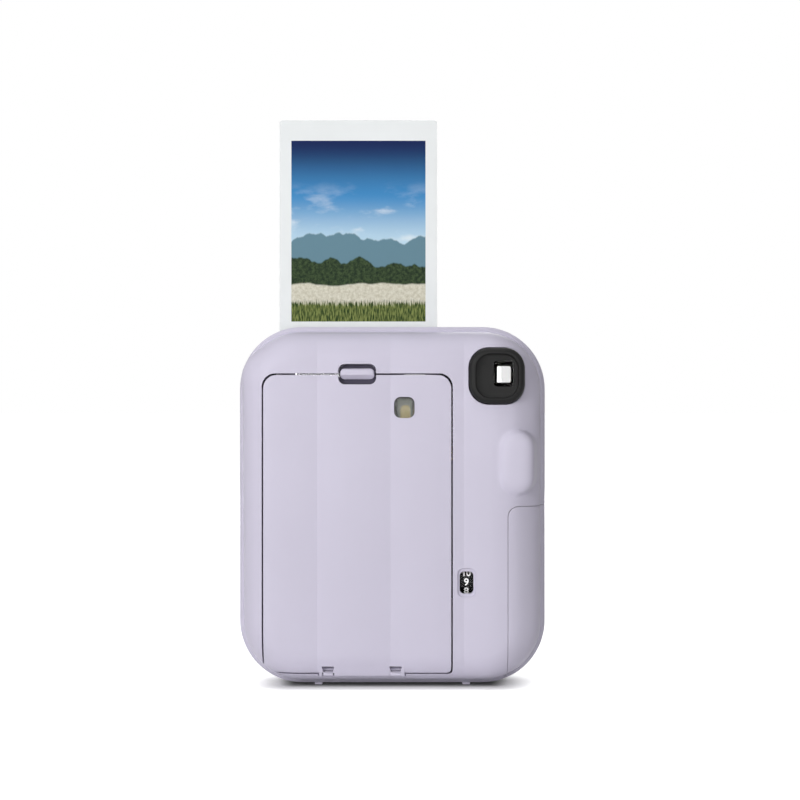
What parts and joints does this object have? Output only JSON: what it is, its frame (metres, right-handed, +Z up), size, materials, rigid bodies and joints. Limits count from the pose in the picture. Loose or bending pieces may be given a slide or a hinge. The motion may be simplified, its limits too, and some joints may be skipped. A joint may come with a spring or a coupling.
{
  "type": "instant camera",
  "caption": "Rounded instant camera with a lobed back, hinged film door, twist-out lens, viewfinder, flash and a print leaving the film slot on top.",
  "frame": {"origin": "on the surface that the feet stand on, below the centre of the part's box", "axes": "+Z up, along the way the print leaves; +Y forwards, out of the lens; the film door faces -Y"},
  "size_m": [0.104, 0.0742, 0.193],
  "materials": {
    "body": "satin moulded plastic",
    "clear": "clear moulded plastic",
    "lens_glass": "coated",
    "charcoal": "satin black",
    "black": "matt black",
    "film": "film backing",
    "paper": "satin film",
    "steel": "bright",
    "nylon": "natural",
    "brass": "machined",
    "mirror": "polished",
    "cell": "wrapped can",
    "board": "lacquered"
  },
  "bodies": {
    "housing": {"back_shell": "body", "front_shell": "body", "hinge_pin": "steel", "film_chamber": "black", "film_pack": "black", "film_stack": "film", "motor": "steel", "transport_frame": "charcoal", "counter_axle": "steel", "counter_window": "clear", "eyepiece_ring": "charcoal", "eyepiece_lens": "clear", "viewfinder_tube": "black", "viewfinder_objective": "clear", "viewfinder_bezel": "charcoal", "viewfinder_window": "clear", "flash_window": "clear", "flash_reflector": "mirror", "flash_tube": "lens_glass", "flash_capacitor": "charcoal", "sensor_window": "charcoal", "lens_collar": "body", "shutter_plate": "charcoal", "button_cup": "body", "button_spring": "steel", "battery_tray": "charcoal", "battery_cell_back": "cell", "battery_cell_front": "cell", "battery_spring": "steel", "battery_bridge": "steel", "battery_terminal": "steel", "main_board": "board", "strap_bar": "body"},
    "door": {"back_door": "body", "door_window": "clear", "latch_spring": "steel", "pressure_spring_left": "steel", "pressure_spring_right": "steel"},
    "latch": {"door_latch": "body"},
    "print": {"film_print": "paper"},
    "drive": {"drive_roller": "steel", "drive_gear": "nylon"},
    "pressure": {"pressure_roller": "steel", "pressure_gear": "nylon"},
    "idler_large": {"idler_gear_large": "nylon"},
    "idler_small": {"idler_gear_small": "nylon"},
    "pinion": {"motor_pinion": "brass"},
    "counter": {"counter_drum": "black"},
    "ring": {"control_ring": "body"},
    "barrel": {"lens_barrel": "charcoal", "lens_front": "lens_glass", "lens_rear": "lens_glass", "close_up_mirror": "mirror"},
    "cover_left": {"lens_cover_left": "black"},
    "cover_right": {"lens_cover_right": "black"},
    "shutter_left": {"shutter_blade_left": "black"},
    "shutter_right": {"shutter_blade_right": "black"},
    "button": {"shutter_button": "charcoal"},
    "battery_door": {"battery_cover": "body"}
  },
  "joints": [
    {"name": "door_hinge", "type": "hinge", "parent": "housing", "child": "door", "pos_m": [-0.01015, -0.03165, 0.0055], "axis": [1, 0, 0], "range_deg": [0, 90]},
    {"name": "latch_slide", "type": "slide", "parent": "door", "child": "latch", "axis": [0, 0, -1], "range_m": [0, 0.0015], "stiffness_N_per_m": 300, "springref_m": -0.001, "deforming": ["latch_spring"]},
    {"name": "print_slide", "type": "slide", "parent": "housing", "child": "print", "axis": [0, 0, 1], "range_m": [-0.094, 0.018]},
    {"name": "drive_spin", "type": "hinge", "parent": "housing", "child": "drive", "pos_m": [0.02, -0.0138, 0.1115], "axis": [1, 0, 0], "continuous": true},
    {"name": "pressure_spin", "type": "hinge", "parent": "housing", "child": "pressure", "pos_m": [0.02, -0.0213, 0.1115], "axis": [1, 0, 0], "continuous": true},
    {"name": "idler_large_spin", "type": "hinge", "parent": "housing", "child": "idler_large", "pos_m": [0.02, -0.00882, 0.10141], "axis": [1, 0, 0], "continuous": true},
    {"name": "idler_small_spin", "type": "hinge", "parent": "housing", "child": "idler_small", "pos_m": [0.02, -0.00582, 0.08781], "axis": [1, 0, 0], "continuous": true},
    {"name": "pinion_spin", "type": "hinge", "parent": "housing", "child": "pinion", "pos_m": [0.02, -0.00382, 0.07893], "axis": [1, 0, 0], "continuous": true},
    {"name": "counter_turn", "type": "hinge", "parent": "housing", "child": "counter", "pos_m": [0.0248, -0.02605, 0.0362], "axis": [1, 0, 0], "range_deg": [-270, 60]},
    {"name": "ring_turn", "type": "hinge", "parent": "housing", "child": "ring", "pos_m": [-0.01165, 0.02, 0.054], "axis": [0, 1, 0], "range_deg": [-60, 25]},
    {"name": "barrel_slide", "type": "slide", "parent": "housing", "child": "barrel", "axis": [0, 1, 0], "range_m": [-0.006, 0.0025]},
    {"name": "cover_left_slide", "type": "slide", "parent": "barrel", "child": "cover_left", "axis": [1, 0, 0], "range_m": [-0.00268, 0.0064]},
    {"name": "cover_right_slide", "type": "slide", "parent": "barrel", "child": "cover_right", "axis": [-1, 0, 0], "range_m": [-0.00268, 0.0064]},
    {"name": "shutter_left_swing", "type": "hinge", "parent": "housing", "child": "shutter_left", "pos_m": [-0.01964, 0.003, 0.04601], "axis": [0, -1, 0], "range_deg": [0, 50]},
    {"name": "shutter_right_swing", "type": "hinge", "parent": "housing", "child": "shutter_right", "pos_m": [-0.00366, 0.003, 0.04601], "axis": [0, -1, 0], "range_deg": [-50, 0]},
    {"name": "button_press", "type": "slide", "parent": "housing", "child": "button", "axis": [0, -1, 0], "range_m": [0, 0.0018], "stiffness_N_per_m": 500, "springref_m": -0.001, "deforming": ["button_spring"]},
    {"name": "battery_cover_slide", "type": "slide", "parent": "housing", "child": "battery_door", "axis": [1, 0, 0], "range_m": [0, 0.03]}
  ],
  "couplings": [
    {"joint": "drive_spin", "follows": "print_slide", "rad_per_m": -285.71},
    {"joint": "pressure_spin", "follows": "print_slide", "rad_per_m": 285.71},
    {"joint": "idler_large_spin", "follows": "print_slide", "rad_per_m": 142.86},
    {"joint": "idler_small_spin", "follows": "print_slide", "rad_per_m": -166.67},
    {"joint": "pinion_spin", "follows": "print_slide", "rad_per_m": 400},
    {"joint": "barrel_slide", "follows": "ring_turn", "m_per_rad": 0.0057295},
    {"joint": "cover_left_slide", "follows": "ring_turn", "m_per_rad": -0.006111},
    {"joint": "cover_right_slide", "follows": "ring_turn", "m_per_rad": -0.006111},
    {"joint": "shutter_right_swing", "follows": "shutter_left_swing", "ratio": -1}
  ]
}
